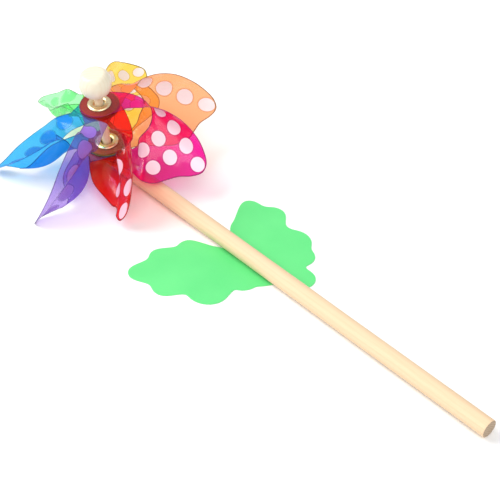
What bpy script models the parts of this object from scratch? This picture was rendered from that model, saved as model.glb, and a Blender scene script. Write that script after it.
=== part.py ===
"""Pinwheel on a wooden dowel, lying on its side as it does on a table.

Metres, +Z up.  The stick runs along +X from the wheel's end to the handle's end.  Everything that the
stick carries is laid out first in "lying" axes, with the stick's axis as X, the axle as Z and the axle's
foot as the origin.  One empty then rolls the stick about its own axis until the wheel's rim comes down to
the table.  The leaf sheet lies flat on the table and is not rolled.
"""

from math import cos, log, pi, radians, sin

import bmesh
import bpy
import numpy as np

MM = 0.001

# Stick
STICK_RADIUS = 5.0 * MM
STICK_LENGTH = 300.0 * MM
STICK_HEAD_OVERHANG = 12.0 * MM      # stick beyond the axle
STICK_END_CHAMFER = 0.6 * MM
STICK_SEGMENTS = 28
AXLE_HOLE_RADIUS = 2.8 * MM
AXLE_HOLE_DEPTH = 8.8 * MM

# Axle, bead and spacer: heights are measured along the axle from the stick's axis
AXLE_RADIUS = 2.5 * MM
AXLE_FOOT = -3.5 * MM
AXLE_TOP = 58.0 * MM
BEAD_BACK = 49.0 * MM
BEAD_FRONT = 63.0 * MM
BEAD_RADIUS = 9.4 * MM
BEAD_FRONT_RADIUS = 5.2 * MM
BEAD_BACK_RADIUS = 5.6 * MM
BEAD_BORE_TOP = 58.3 * MM
BEAD_STEPS = 8                       # facets from the bead's back to its front
SPACER_RADIUS = 5.5 * MM
SPACER_BACK = 5.3 * MM
SPACER_FRONT = 6.3 * MM
ROUND_SEGMENTS = 24

# Eyelets and washers
EYELET_BARREL_RADIUS = 4.0 * MM
EYELET_BORE_RADIUS = 3.4 * MM
EYELET_FLANGE_RADIUS = 7.0 * MM
EYELET_CLINCH_RADIUS = 5.4 * MM
EYELET_FLANGE_THICKNESS = 0.5 * MM
EYELET_CROWN = 0.5 * MM
EYELET_RIM_ROUNDING = 0.3 * MM
EYELET_THROAT = 0.6 * MM             # how far the crown's inner slope reaches out from the bore
EYELET_THROAT_DROP = 0.2 * MM
WASHER_RADIUS = 7.0 * MM
WASHER_THICKNESS = 0.4 * MM
FIT_GAP = 0.3 * MM

# Tabs of the vanes, stacked on each eyelet
SHEET_THICKNESS = 0.3 * MM
TAB_RADIUS = 11.5 * MM
TAB_HOLE_RADIUS = 4.3 * MM
TAB_PITCH = 0.5 * MM                 # from one sheet of a stack to the next
BACK_STACK_LOW = 7.9 * MM            # middle of the lowest back tab
FRONT_STACK_LOW = 37.2 * MM          # middle of the lowest front tab
FRONT_TAB_HEADING = 33.0             # degrees from the vane's tip line
BACK_TAB_HEADING = -24.0
PLATEAU_RADIUS = 16.5 * MM           # tabs stay level to here
FADE_RADIUS = 32.0 * MM              # and have lost their place in the stack here

# Vanes: name, colour, angle of the tip from the stick in degrees, how far the low lobe is tucked in, the
# rib that is tucked furthest, how far the upper outer edge droops, and the reach of the tip.  Each sheet
# is bent a little differently.
VANES = [
    ("vane_orange", (1.00, 0.45, 0.10), 73.0, 1.5 * MM, 13.5, -1.0 * MM, 1.12),
    ("vane_yellow", (0.98, 0.78, 0.08), 122.5, 4.0 * MM, 12.0, 4.0 * MM, 1.14),
    ("vane_green", (0.20, 0.85, 0.32), 179.0, 19.0 * MM, 12.8, 8.0 * MM, 1.00),
    ("vane_blue", (0.03, 0.40, 0.95), 238.0, 26.0 * MM, 13.6, 3.0 * MM, 1.08),
    ("vane_purple", (0.32, 0.12, 0.75), 285.5, 27.0 * MM, 13.6, -6.0 * MM, 1.13),
    ("vane_red", (0.88, 0.05, 0.03), 328.5, 20.5 * MM, 13.7, -6.0 * MM, 1.00),
    ("vane_magenta", (0.92, 0.05, 0.30), 24.0, 0.0 * MM, 12.0, 0.0 * MM, 1.00),
]

# Ribs of one vane in millimetres, from the front tab to the back tab.  Each has a point on the inner edge,
# a point on the outer edge (x along the tip line, y towards the next vane, z along the axle) and a bulge.
RIBS = [
    ((10.0, 13.5, 38.7), (17.0, 1.5, 38.7), 0.0),
    ((17.0, 14.6, 37.6), (24.0, 3.6, 39.8), 0.4),
    ((22.0, 15.0, 34.8), (28.0, 5.2, 40.7), 0.8),
    ((25.0, 14.2, 31.3), (32.0, 6.8, 40.2), 1.4),
    ((26.6, 11.6, 29.6), (39.5, 8.6, 37.2), 2.2),
    ((27.4, 9.4, 28.7), (48.0, 9.3, 31.2), 2.8),
    ((27.8, 7.4, 28.0), (55.5, 8.6, 22.6), 3.0),
    ((27.9, 5.8, 27.5), (60.3, 6.0, 15.6), 3.0),
    ((27.8, 4.6, 27.1), (63.2, 2.2, 9.6), 3.0),
    ((27.5, 3.6, 26.7), (62.4, -3.0, 6.6), 3.0),
    ((27.0, 2.6, 26.1), (57.5, -7.4, 6.4), 3.0),
    ((26.4, 1.6, 25.4), (51.0, -10.6, 7.0), 3.0),
    ((25.5, 0.7, 24.6), (46.0, -16.0, 8.0), 2.8),
    ((24.2, 0.0, 23.2), (40.5, -21.0, 8.2), 2.4),
    ((22.4, -0.4, 20.6), (33.0, -22.0, 8.8), 1.8),
    ((20.2, 0.4, 14.6), (24.0, -17.4, 9.3), 0.8),
    ((15.6, 1.4, 9.4), (15.0, -13.2, 9.4), 0.0),
]
TUCK_FIRST_RIB = 8                   # the low lobe lies between these two ribs
TUCK_LAST_RIB = 16
TUCK_BULGE = 0.15                    # extra bulge for each unit of tuck
TUCK_SINK = 0.09                     # how far the lobe sinks for each unit of tuck
TUCK_INNER_SHARE = 0.18              # how much of the tuck the inner edge follows
DROOP_FIRST_RIB = 1                  # the outer edge droops between these two
DROOP_LAST_RIB = 9
DROOP_RIB = 5                        # and most at this one
REACH_START = 30.0                   # mm from the axle, where a longer tip begins to stretch
REACH_GAIN = 2.0                     # stretch beyond that point for each unit of reach
SCOOP_AXIS = (0.417, -0.616, 0.667)  # towards the hollow side of the scoop; bulges go the other way
STEPS_PER_RIB = 2
CELLS_ACROSS = 6

# Leaf sheet: one sheet of two leaves, flat on the table, with a scalloped edge.  The edge is the outer
# envelope of these lobes: x along the stick from the axle, y across it, and radius, in millimetres.
LEAF_THICKNESS = 0.4 * MM
LEAF_CENTRE = (116.0, -3.0)
LEAF_LOBES = [
    (91.0, -16.0, 8.5), (86.0, -32.0, 8.5), (88.0, -49.0, 8.5), (105.0, -46.0, 9.0),
    (121.0, -31.0, 12.5), (126.0, -11.0, 10.5), (110.0, -20.0, 20.0),
    (97.0, 18.0, 8.5), (85.5, 34.0, 7.8), (99.0, 39.0, 8.8), (123.0, 32.0, 10.8),
    (134.0, 26.0, 9.0), (147.0, 13.0, 9.0), (112.0, 22.0, 17.0), (122.0, 4.0, 20.0),
]
LEAF_POINTS_AROUND = 96
LEAF_SMOOTHING = 1                   # passes that soften the notches between lobes
PAD_LENGTH = 20.0 * MM
PAD_WIDTH = 4.0 * MM
PAD_THICKNESS = 0.4 * MM
PAD_X = 118.0 * MM
PAD_GAP = 0.1 * MM

# Pose on the table
STICK_AXIS_HEIGHT = LEAF_THICKNESS + PAD_GAP + PAD_THICKNESS + PAD_GAP + STICK_RADIUS
ROLL = 10.0                          # degrees: brings the rim down to the table


def clear_scene():
    for obj in list(bpy.data.objects):
        bpy.data.objects.remove(obj, do_unlink=True)


def material(name, colour, roughness, metallic=0.0):
    mat = bpy.data.materials.new(name)
    mat.use_nodes = True
    shader = mat.node_tree.nodes["Principled BSDF"]
    shader.inputs["Base Color"].default_value = (*colour, 1.0)
    shader.inputs["Roughness"].default_value = roughness
    shader.inputs["Metallic"].default_value = metallic
    mat.diffuse_color = (*colour, 1.0)
    return mat


def empty(name, parent=None):
    obj = bpy.data.objects.new(name, None)
    bpy.context.collection.objects.link(obj)
    obj.parent = parent
    return obj


def mesh_object(name, bm, mat, parent, smooth_angle=None):
    bmesh.ops.recalc_face_normals(bm, faces=bm.faces)
    mesh = bpy.data.meshes.new(name)
    bm.to_mesh(mesh)
    bm.free()
    obj = bpy.data.objects.new(name, mesh)
    bpy.context.collection.objects.link(obj)
    obj.parent = parent
    if mat is not None:
        mesh.materials.append(mat)
    if smooth_angle is not None:
        mesh.shade_smooth()
        mesh.set_sharp_from_angle(angle=radians(smooth_angle))
    return obj


def turned(name, profile, mat, parent, axis="Z", segments=ROUND_SEGMENTS, closed=False):
    """A solid of revolution.  The profile is (radius, height) pairs; radius 0 is a pole on the axis."""
    bm = bmesh.new()
    rings = []
    for radius, height in profile:
        turns = [0.0] if radius == 0 else [2 * pi * i / segments for i in range(segments)]
        ring = []
        for turn in turns:
            across = radius * cos(turn)
            side = radius * sin(turn)
            point = (across, side, height) if axis == "Z" else (height, across, side)
            ring.append(bm.verts.new(point))
        rings.append(ring)
    pairs = list(zip(rings, rings[1:]))
    if closed:
        pairs.append((rings[-1], rings[0]))
    for low, high in pairs:
        for i in range(segments):
            j = (i + 1) % segments
            corners = [low[i % len(low)], low[j % len(low)], high[j % len(high)], high[i % len(high)]]
            distinct = list(dict.fromkeys(corners))
            if len(distinct) > 2:
                bm.faces.new(distinct)
    return mesh_object(name, bm, mat, parent, smooth_angle=35)


def cut(obj, cutter):
    cutter.hide_render = True
    cutter.display_type = "WIRE"
    boolean = obj.modifiers.new("cut", "BOOLEAN")
    boolean.operation = "DIFFERENCE"
    boolean.solver = "EXACT"
    boolean.object = cutter


def make_stick(parent):
    head = -STICK_HEAD_OVERHANG
    tail = STICK_LENGTH - STICK_HEAD_OVERHANG
    rim = STICK_RADIUS - STICK_END_CHAMFER
    profile = [
        (0, head), (rim, head), (STICK_RADIUS, head + STICK_END_CHAMFER),
        (STICK_RADIUS, tail - STICK_END_CHAMFER), (rim, tail), (0, tail),
    ]
    wood = material("stick", (0.86, 0.70, 0.48), 0.55)
    stick = turned("stick", profile, wood, parent, axis="X", segments=STICK_SEGMENTS)
    foot = STICK_RADIUS - AXLE_HOLE_DEPTH
    mouth = STICK_RADIUS + MM
    hole = [(0, foot), (AXLE_HOLE_RADIUS, foot), (AXLE_HOLE_RADIUS, mouth), (0, mouth)]
    cut(stick, turned("axle_hole_cutter", hole, None, parent, segments=ROUND_SEGMENTS))
    return stick


def make_axle(parent):
    profile = [(0, AXLE_FOOT), (AXLE_RADIUS, AXLE_FOOT), (AXLE_RADIUS, AXLE_TOP), (0, AXLE_TOP)]
    return turned("axle_peg", profile, material("axle_peg", (0.86, 0.72, 0.50), 0.5), parent)


def make_bead(parent):
    """A round-shouldered cap with a blind bore at the back and a small flat at the front."""
    half = 0.5 * (BEAD_FRONT - BEAD_BACK)
    middle = BEAD_BACK + half
    bore = AXLE_RADIUS + FIT_GAP
    profile = [(0, BEAD_BORE_TOP), (bore, BEAD_BORE_TOP), (bore, BEAD_BACK)]
    for i in range(BEAD_STEPS + 1):
        turn = -pi / 2 + pi * i / BEAD_STEPS
        flat = BEAD_BACK_RADIUS if turn < 0 else BEAD_FRONT_RADIUS
        profile.append((flat + (BEAD_RADIUS - flat) * cos(turn), middle + half * sin(turn)))
    profile.append((0, BEAD_FRONT))
    return turned("bead_cap", profile, material("bead_cap", (0.93, 0.88, 0.68), 0.35), parent)


def make_spacer(parent):
    bore = AXLE_RADIUS + FIT_GAP
    profile = [
        (bore, SPACER_BACK), (SPACER_RADIUS, SPACER_BACK),
        (SPACER_RADIUS, SPACER_FRONT), (bore, SPACER_FRONT),
    ]
    plastic = material("spacer_washer", (0.8, 0.8, 0.78), 0.5)
    return turned("spacer_washer", profile, plastic, parent, closed=True)


def stack_heights(lowest):
    """The lowest and highest faces of a stack of tabs."""
    return lowest - SHEET_THICKNESS / 2, lowest + (len(VANES) - 1) * TAB_PITCH + SHEET_THICKNESS / 2


def make_eyelet(side, lowest, brass, parent):
    """A brass eyelet with a crowned flange in front and a rolled clinch behind, and its plain washer."""
    low, high = stack_heights(lowest)
    flange = high + 0.5 * FIT_GAP
    washer_front = low - 0.5 * FIT_GAP
    washer_back = washer_front - WASHER_THICKNESS
    clinch_front = washer_back - 0.5 * FIT_GAP
    clinch_back = clinch_front - EYELET_FLANGE_THICKNESS
    crown = flange + EYELET_FLANGE_THICKNESS + EYELET_CROWN
    profile = [
        (EYELET_BORE_RADIUS, clinch_back),
        (EYELET_CLINCH_RADIUS, clinch_back),
        (EYELET_CLINCH_RADIUS, clinch_front),
        (EYELET_BARREL_RADIUS, clinch_front),
        (EYELET_BARREL_RADIUS, flange),
        (EYELET_FLANGE_RADIUS, flange),
        (EYELET_FLANGE_RADIUS - EYELET_RIM_ROUNDING, flange + EYELET_FLANGE_THICKNESS),
        (0.5 * (EYELET_FLANGE_RADIUS + EYELET_BORE_RADIUS), crown),
        (EYELET_BORE_RADIUS + EYELET_THROAT, crown - EYELET_THROAT_DROP),
        (EYELET_BORE_RADIUS, flange),
    ]
    turned(side + "_eyelet", profile, brass, parent, closed=True)
    ring = [
        (TAB_HOLE_RADIUS, washer_back), (WASHER_RADIUS, washer_back),
        (WASHER_RADIUS, washer_front), (TAB_HOLE_RADIUS, washer_front),
    ]
    turned(side + "_washer", ring, brass, parent, closed=True)


def smooth_step(value):
    value = min(max(value, 0.0), 1.0)
    return value * value * (3.0 - 2.0 * value)


def catmull_rom(points, steps):
    """Points along a smooth curve through the given points, steps to each span."""
    points = np.asarray(points, float)
    ends = np.vstack([2 * points[0] - points[1], points, 2 * points[-1] - points[-2]])
    curve = []
    for i in range(1, len(ends) - 2):
        before, start, end, after = ends[i - 1:i + 3]
        for step in range(steps):
            t = step / steps
            curve.append(0.5 * (
                2 * start + (end - before) * t
                + (2 * before - 5 * start + 4 * end - after) * t * t
                + (3 * start - before - 3 * end + after) * t ** 3
            ))
    curve.append(points[-1])
    return np.array(curve)


def tab_arc(heading, level, count):
    """The half of a tab's edge that faces its strip, from the strip's inner side to its outer side."""
    turns = [radians(heading + 90.0 - 180.0 * i / count) for i in range(count + 1)]
    return [np.array([TAB_RADIUS * cos(t), TAB_RADIUS * sin(t), level]) for t in turns]


def hump(index, first, last, middle):
    """A smooth share that is 1 at the middle rib and 0 at the first and last ribs and beyond."""
    span = (index - first) / (last - first)
    skew = log(0.5) / log((middle - first) / (last - first))
    return sin(pi * span ** skew) if 0 < span < 1 else 0.0


def vane_ribs(tuck, tuck_rib, droop, reach):
    """Inner points, outer points and bulges of one vane's ribs, bent its own way, in metres."""
    inner = []
    outer = []
    bulges = []
    for index, (inside, outside, bulge) in enumerate(RIBS):
        share = hump(index, TUCK_FIRST_RIB, TUCK_LAST_RIB, tuck_rib)
        fall = hump(index, DROOP_FIRST_RIB, DROOP_LAST_RIB, DROOP_RIB)
        stretch = max(outside[0] - REACH_START, 0.0) * (reach - 1.0) * REACH_GAIN
        inside = np.array(inside) * MM
        outside = (np.array(outside) + np.array([stretch, 0, 0])) * MM
        width = np.linalg.norm(outside[:2] - inside[:2])
        inside[1] += TUCK_INNER_SHARE * share * tuck
        outside += np.array([0, share * tuck, -TUCK_SINK * share * tuck - fall * droop])
        across = outside[:2] - inside[:2]
        outside[:2] = inside[:2] + across * width / np.linalg.norm(across)
        inner.append(inside)
        outer.append(outside)
        bulges.append(bulge * MM + TUCK_BULGE * share * tuck)
    return inner, outer, bulges


def stack_offset(point, place, back):
    """How far a tab's place in the stack lifts a point: fully near the hub, not at all further out."""
    middle = 0.5 * (len(VANES) - 1)
    order = (middle - place) if back else (place - middle)
    radius = float(np.hypot(point[0], point[1]))
    fade = 1.0 - smooth_step((radius - PLATEAU_RADIUS) / (FADE_RADIUS - PLATEAU_RADIUS))
    return order * TAB_PITCH * fade


def rib_row(inside, outside, bulge):
    """Points across the strip on one rib, bowed out by the bulge on the side away from the hub's scoop."""
    across = outside - inside
    away = -np.array(SCOOP_AXIS)
    away = away - across * (away @ across) / (across @ across)
    away = away / np.linalg.norm(away)
    row = []
    for i in range(CELLS_ACROSS + 1):
        t = i / CELLS_ACROSS
        row.append(inside + across * t + away * bulge * 4 * t * (1 - t))
    return row


def vane_rows(place, *bend):
    """The vane's middle surface as rows of points, from the front tab's edge to the back tab's edge."""
    middle = 0.5 * (len(VANES) - 1)
    front_level = FRONT_STACK_LOW + middle * TAB_PITCH
    back_level = BACK_STACK_LOW + middle * TAB_PITCH
    inner, outer, bulges = vane_ribs(*bend)
    inner = catmull_rom(inner, STEPS_PER_RIB)
    outer = catmull_rom(outer, STEPS_PER_RIB)
    bulges = np.interp(np.linspace(0, len(bulges) - 1, len(inner)), range(len(bulges)), bulges)
    rows = [tab_arc(FRONT_TAB_HEADING, front_level, CELLS_ACROSS)]
    rows += [rib_row(*rib) for rib in zip(inner, outer, bulges)]
    rows.append(tab_arc(BACK_TAB_HEADING, back_level, CELLS_ACROSS))
    halfway = len(rows) // 2
    for index, row in enumerate(rows):
        for point in row:
            point[2] += stack_offset(point, place, back=index > halfway)
    return rows


def add_tab(bm, edge, heading, level):
    """Closes a strip's end into a round tab with a hole: a ring whose near half shares the strip's edge."""
    count = 2 * CELLS_ACROSS
    outer_ring = list(edge)
    for i in range(1, CELLS_ACROSS):
        turn = radians(heading - 90.0 - 180.0 * i / CELLS_ACROSS)
        outer_ring.append(bm.verts.new((TAB_RADIUS * cos(turn), TAB_RADIUS * sin(turn), level)))
    inner_ring = []
    for i in range(count):
        turn = radians(heading + 90.0 - 360.0 * i / count)
        inner_ring.append(bm.verts.new((TAB_HOLE_RADIUS * cos(turn), TAB_HOLE_RADIUS * sin(turn), level)))
    for i in range(count):
        j = (i + 1) % count
        bm.faces.new((outer_ring[i], outer_ring[j], inner_ring[j], inner_ring[i]))


def make_vane(place, name, colour, angle, bend, parent):
    rows = vane_rows(place, *bend)
    bm = bmesh.new()
    grid = [[bm.verts.new(point) for point in row] for row in rows]
    for near, far in zip(grid, grid[1:]):
        for i in range(CELLS_ACROSS):
            bm.faces.new((near[i], near[i + 1], far[i + 1], far[i]))
    add_tab(bm, grid[0], FRONT_TAB_HEADING, rows[0][0][2])
    add_tab(bm, grid[-1], BACK_TAB_HEADING, rows[-1][0][2])
    vane = mesh_object(name, bm, material(name, colour, 0.12), parent, smooth_angle=60)
    vane.rotation_euler = (0, 0, radians(angle))
    sheet = vane.modifiers.new("sheet", "SOLIDIFY")
    sheet.thickness = SHEET_THICKNESS
    sheet.offset = 0.0
    return vane


def leaf_outline():
    """The outer envelope of the lobes, seen from the sheet's centre, with softened notches, in metres."""
    outline = []
    for i in range(LEAF_POINTS_AROUND):
        turn = 2 * pi * i / LEAF_POINTS_AROUND
        ahead = np.array([cos(turn), sin(turn)])
        reach = 0.0
        for x, y, radius in LEAF_LOBES:
            centre = np.array([x - LEAF_CENTRE[0], y - LEAF_CENTRE[1]])
            along = centre @ ahead
            off_axis = centre @ centre - along ** 2
            if off_axis < radius ** 2:
                reach = max(reach, along + (radius ** 2 - off_axis) ** 0.5)
        outline.append((np.array(LEAF_CENTRE) + ahead * reach) * MM)
    outline = np.array(outline)
    for _ in range(LEAF_SMOOTHING):
        beside = np.roll(outline, 1, axis=0) + np.roll(outline, -1, axis=0)
        outline = 0.5 * outline + 0.25 * beside
    return outline


def make_leaf(parent):
    bm = bmesh.new()
    bottom = [bm.verts.new((x, y, 0.0)) for x, y in leaf_outline()]
    face = bm.faces.new(bottom)
    lifted = bmesh.ops.extrude_face_region(bm, geom=[face])["geom"]
    moved = [v for v in lifted if isinstance(v, bmesh.types.BMVert)]
    bmesh.ops.translate(bm, verts=moved, vec=(0, 0, LEAF_THICKNESS))
    return mesh_object("leaf_sheet", bm, material("leaf_sheet", (0.20, 0.86, 0.32), 0.35), parent)


def make_pad(parent):
    bm = bmesh.new()
    bmesh.ops.create_cube(bm, size=1.0)
    bmesh.ops.scale(bm, verts=bm.verts, vec=(PAD_LENGTH, PAD_WIDTH, PAD_THICKNESS))
    height = LEAF_THICKNESS + PAD_GAP + PAD_THICKNESS / 2
    bmesh.ops.translate(bm, verts=bm.verts, vec=(PAD_X, 0, height))
    return mesh_object("leaf_glue_pad", bm, material("leaf_glue_pad", (0.9, 0.9, 0.85), 0.6), parent)


def place_origin(root):
    """Puts the origin at the bottom centre of the whole object's box."""
    bpy.context.view_layer.update()
    depsgraph = bpy.context.evaluated_depsgraph_get()
    corners = []
    for obj in bpy.data.objects:
        if obj.type == "MESH" and not obj.hide_render:
            shape = obj.evaluated_get(depsgraph)
            corners += [shape.matrix_world @ vertex.co for vertex in shape.data.vertices]
    corners = np.array(corners)
    low = corners.min(axis=0)
    high = corners.max(axis=0)
    root.location = (-(low[0] + high[0]) / 2, -(low[1] + high[1]) / 2, -low[2])


def main():
    clear_scene()
    root = empty("pinwheel")
    lying = empty("lying", root)
    lying.location = (0, 0, STICK_AXIS_HEIGHT)
    lying.rotation_euler = (radians(ROLL), 0, 0)
    wheel = empty("wheel", lying)
    make_stick(lying)
    make_axle(lying)
    make_bead(lying)
    make_spacer(lying)
    brass = material("brass", (0.83, 0.62, 0.30), 0.25, metallic=1.0)
    make_eyelet("front", FRONT_STACK_LOW, brass, wheel)
    make_eyelet("back", BACK_STACK_LOW, brass, wheel)
    for place, (name, colour, angle, *bend) in enumerate(VANES):
        make_vane(place, name, colour, angle, bend, wheel)
    make_leaf(root)
    make_pad(root)
    place_origin(root)


main()
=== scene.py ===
"""The pinwheel's looks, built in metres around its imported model.

Everything that the stick carries is laid out in "lying" axes, with the stick's axis as X, the axle as Z and
the axle's foot as the origin, and then rolled about the stick's axis onto the table.  The shapes repeat the
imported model's, with finer meshes, rounded edges and surface detail.
"""

from math import copysign, cos, floor, log, pi, radians, sin

import bmesh
import bpy
import numpy as np
from mathutils import Matrix, Vector


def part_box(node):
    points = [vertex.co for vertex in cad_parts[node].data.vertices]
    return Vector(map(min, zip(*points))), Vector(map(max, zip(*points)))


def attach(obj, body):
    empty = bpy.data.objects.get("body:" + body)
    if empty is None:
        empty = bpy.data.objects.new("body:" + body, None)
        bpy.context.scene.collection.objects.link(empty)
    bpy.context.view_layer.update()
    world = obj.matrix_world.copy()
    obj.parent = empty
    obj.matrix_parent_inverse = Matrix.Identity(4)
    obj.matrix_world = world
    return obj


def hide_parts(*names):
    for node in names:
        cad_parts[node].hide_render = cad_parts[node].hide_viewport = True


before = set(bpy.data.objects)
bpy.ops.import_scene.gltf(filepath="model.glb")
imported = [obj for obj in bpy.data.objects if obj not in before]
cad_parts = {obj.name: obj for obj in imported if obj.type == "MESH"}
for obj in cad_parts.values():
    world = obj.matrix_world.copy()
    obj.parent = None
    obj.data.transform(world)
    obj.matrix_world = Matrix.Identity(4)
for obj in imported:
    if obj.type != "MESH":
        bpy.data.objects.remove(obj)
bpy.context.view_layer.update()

MM = 0.001

# Stick
STICK_RADIUS = 5.0 * MM
STICK_LENGTH = 300.0 * MM
STICK_HEAD_OVERHANG = 12.0 * MM
STICK_END_CHAMFER = 0.6 * MM
STICK_SEGMENTS = 72
STICK_SLICES = 150
STICK_UNEVENNESS = 0.03 * MM         # half of how far the sanded side dips at most
END_RING_PITCH = 1.3 * MM            # between growth rings on the sawn ends
AXLE_HOLE_RADIUS = 2.8 * MM
AXLE_HOLE_DEPTH = 8.8 * MM

# Axle, bead and spacer
AXLE_RADIUS = 2.5 * MM
AXLE_FOOT = -3.5 * MM
AXLE_TOP = 58.0 * MM
BEAD_BACK = 49.0 * MM
BEAD_FRONT = 63.0 * MM
BEAD_RADIUS = 9.4 * MM
BEAD_FRONT_RADIUS = 5.2 * MM
BEAD_BACK_RADIUS = 5.6 * MM
BEAD_BORE_TOP = 58.3 * MM
SPACER_RADIUS = 5.5 * MM
SPACER_BACK = 5.3 * MM
SPACER_FRONT = 6.3 * MM
ROUND_SEGMENTS = 72
BEAD_UNEVENNESS = 0.02 * MM          # half of how far the turned side dips at most
BEAD_BORE_FLARE = 0.35 * MM
AXLE_EDGE_ROUNDING = 0.3 * MM
SPACER_EDGE_ROUNDING = 0.25 * MM

# Eyelets and washers
EYELET_BARREL_RADIUS = 4.0 * MM
EYELET_BORE_RADIUS = 3.4 * MM
EYELET_FLANGE_RADIUS = 7.0 * MM
EYELET_CLINCH_RADIUS = 5.4 * MM
EYELET_FLANGE_THICKNESS = 0.5 * MM
EYELET_CROWN = 0.5 * MM
EYELET_BORE_FLARE = 0.5 * MM
WASHER_RADIUS = 7.0 * MM
WASHER_THICKNESS = 0.4 * MM
WASHER_EDGE_ROUNDING = 0.12 * MM
FIT_GAP = 0.3 * MM

# Tabs of the vanes, stacked on each eyelet
SHEET_THICKNESS = 0.3 * MM
TAB_RADIUS = 11.5 * MM
TAB_HOLE_RADIUS = 4.3 * MM
TAB_RINGS = (0.14, 0.5, 1.0)         # shares of the way from a tab's edge to its hole
TAB_PITCH = 0.5 * MM                 # from one sheet of a stack to the next
BACK_STACK_LOW = 7.9 * MM            # middle of the lowest back tab
FRONT_STACK_LOW = 37.2 * MM          # middle of the lowest front tab
FRONT_TAB_HEADING = 33.0             # degrees from the vane's tip line
BACK_TAB_HEADING = -24.0
PLATEAU_RADIUS = 16.5 * MM           # tabs stay level to here
FADE_RADIUS = 32.0 * MM              # and have lost their place in the stack here

# Vanes, from the lowest front tab to the highest: name, angle of the tip from the stick in degrees, how far
# the low lobe is tucked in, the rib that is tucked furthest, how far the upper outer edge droops, and the
# reach of the tip
VANES = [
    ("vane_orange", 73.0, 1.5 * MM, 13.5, -1.0 * MM, 1.12),
    ("vane_yellow", 122.5, 4.0 * MM, 12.0, 4.0 * MM, 1.14),
    ("vane_green", 179.0, 19.0 * MM, 12.8, 8.0 * MM, 1.00),
    ("vane_blue", 238.0, 26.0 * MM, 13.6, 3.0 * MM, 1.08),
    ("vane_purple", 285.5, 27.0 * MM, 13.6, -6.0 * MM, 1.13),
    ("vane_red", 328.5, 20.5 * MM, 13.7, -6.0 * MM, 1.00),
    ("vane_magenta", 24.0, 0.0 * MM, 12.0, 0.0 * MM, 1.00),
]

# Ribs of one vane in millimetres, from the front tab to the back tab: a point on the inner edge, a point on
# the outer edge (x along the tip line, y towards the next vane, z along the axle) and a bulge
RIBS = [
    ((10.0, 13.5, 38.7), (17.0, 1.5, 38.7), 0.0),
    ((17.0, 14.6, 37.6), (24.0, 3.6, 39.8), 0.4),
    ((22.0, 15.0, 34.8), (28.0, 5.2, 40.7), 0.8),
    ((25.0, 14.2, 31.3), (32.0, 6.8, 40.2), 1.4),
    ((26.6, 11.6, 29.6), (39.5, 8.6, 37.2), 2.2),
    ((27.4, 9.4, 28.7), (48.0, 9.3, 31.2), 2.8),
    ((27.8, 7.4, 28.0), (55.5, 8.6, 22.6), 3.0),
    ((27.9, 5.8, 27.5), (60.3, 6.0, 15.6), 3.0),
    ((27.8, 4.6, 27.1), (63.2, 2.2, 9.6), 3.0),
    ((27.5, 3.6, 26.7), (62.4, -3.0, 6.6), 3.0),
    ((27.0, 2.6, 26.1), (57.5, -7.4, 6.4), 3.0),
    ((26.4, 1.6, 25.4), (51.0, -10.6, 7.0), 3.0),
    ((25.5, 0.7, 24.6), (46.0, -16.0, 8.0), 2.8),
    ((24.2, 0.0, 23.2), (40.5, -21.0, 8.2), 2.4),
    ((22.4, -0.4, 20.6), (33.0, -22.0, 8.8), 1.8),
    ((20.2, 0.4, 14.6), (24.0, -17.4, 9.3), 0.8),
    ((15.6, 1.4, 9.4), (15.0, -13.2, 9.4), 0.0),
]
TUCK_FIRST_RIB = 8                   # the low lobe lies between these two ribs
TUCK_LAST_RIB = 16
TUCK_BULGE = 0.15                    # extra bulge for each unit of tuck
TUCK_SINK = 0.09                     # how far the lobe sinks for each unit of tuck
TUCK_INNER_SHARE = 0.18              # how much of the tuck the inner edge follows
DROOP_FIRST_RIB = 1                  # the outer edge droops between these two
DROOP_LAST_RIB = 9
DROOP_RIB = 5                        # and most at this one
REACH_START = 30.0                   # mm from the axle, where a longer tip begins to stretch
REACH_GAIN = 2.0                     # stretch beyond that point for each unit of reach
SCOOP_AXIS = (0.417, -0.616, 0.667)  # towards the hollow side of the scoop; bulges go the other way
PLAIN_BEND = (0.0, 12.0, 0.0, 1.0)   # no tuck, no droop and no extra reach: the sheet that is laid flat
CELLS_ACROSS = 6                     # cells across a strip in the coarse grid
FINE_ALONG = 5                       # fine cells for each coarse one, along a strip
FINE_ACROSS = 4                      # and across it

# Print on the sheets, in the flat pattern: every sheet is cut from the same place in a grid of dots
DOT_ORIGIN = (-8.7 * MM, 9.3 * MM)
DOT_STEP_ALONG = (5.5 * MM, 11.6 * MM)
DOT_STEP_ACROSS = (-10.8 * MM, 4.2 * MM)
DOT_RADIUS = 0.36                    # as a share of the step between dots
DOT_EDGE = 0.012
DOT_SHADE = 0.10                     # how far the shade round a dot reaches, as a share of that step
DOT_ROW = {(-2, 0), (-1, 0), (0, 0), (1, 0), (2, 0)}           # cells of the grid that hold a dot
DOT_ROWS = DOT_ROW | {(0, -1), (1, -1), (0, -2), (1, -2)}
DOT_BENT_ROW = {(-2, 0), (-1, 0), (0, 0), (1, -1), (2, -1)}
DOT_FEW = {(0, -1), (1, -2), (1, 0), (2, 0)}
CLEAR_TINT = (0.99, 0.99, 0.99)      # of the printed face; the sheet's colour is in its other face
WHITE_INK = (0.94, 0.86, 0.92)
PINK_INK = (0.97, 0.63, 0.69)
PRINTED_OPACITY = 0.05               # of the printed face between its dots
CLEAR_OPACITY = (0.10, 0.13)         # of the unprinted face, least and most
INK_OPACITY = 0.90
INK_GLOW = 0.10                      # share of light that comes through a dot
EDGE_OPACITY = 0.6                   # of the painted dark line of shade along a cut edge
EDGE_DARKNESS = 0.30                 # the line's colour, as a share of the sheet's
SHADE_STRENGTH = 0.75                # of the shade round a dot, as a share of that line
GLOSS_FACING = 0.025                 # share of light that a face mirrors when seen square on
GLOSS_AT_EDGE = 0.6                  # and how much more when seen at a glancing angle
BORDER = 0.52                        # where the dark line begins: 1 is the edge, 0 a fine cell in from it
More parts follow.
